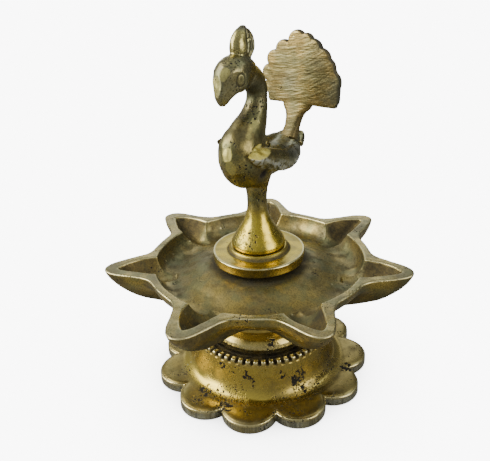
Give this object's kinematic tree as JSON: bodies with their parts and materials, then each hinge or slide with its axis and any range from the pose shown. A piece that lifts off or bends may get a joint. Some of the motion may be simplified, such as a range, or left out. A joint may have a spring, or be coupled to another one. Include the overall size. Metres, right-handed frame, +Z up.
{
  "type": "standing oil lamp",
  "caption": "Brass standing oil lamp: scalloped hollow foot, turned neck, shallow dish with leaf-shaped wick spouts, stepped collar and a screw-in peacock finial with a fan tail.",
  "frame": {"origin": "Centre of the foot's underside, on the lamp's axis, where it rests on a surface", "axes": "+Z up along the lamp's axis; one wick spout of the dish points along -Y; the peacock looks almost along -Y, 7 degrees towards -X"},
  "size_m": [0.1218, 0.121, 0.1453],
  "materials": {
    "aged_brass": "sand-cast and hand-filed, olive-brown patina in the hollows, worn bright on edges, small casting pits",
    "polished_brass": "turned and worn bright, fine turning lines",
    "dark_brass": "cast, grey-olive patina on the head, golden on the trumpet, pitted",
    "filed_brass": "coarsely filed flat, orange-brown with cross scratches",
    "hidden_brass": "dull turned brass"
  },
  "bodies": {
    "stand": {"foot": "aged_brass", "neck": "polished_brass", "foot_washer": "hidden_brass", "foot_nut": "hidden_brass"},
    "dish": {"oil_dish": "aged_brass"},
    "collar": {"collar_disc": "polished_brass"},
    "finial": {"peacock": "dark_brass", "tail_fan": "filed_brass", "finial_stud": "hidden_brass"}
  },
  "joints": [
    {"name": "dish_lift", "type": "slide", "parent": "stand", "child": "dish", "axis": [0, 0, 1], "range_m": [0, 0.012]},
    {"name": "collar_rise", "type": "slide", "parent": "dish", "child": "collar", "axis": [0, 0, 1], "range_m": [0, 0.0127]},
    {"name": "finial_turn", "type": "hinge", "parent": "collar", "child": "finial", "pos_m": [0, 0, 0.0595], "axis": [0, 0, 1], "range_deg": [0, 3060]}
  ],
  "couplings": [
    {"joint": "finial_turn", "follows": "collar_rise", "rad_per_m": 4188.8}
  ]
}
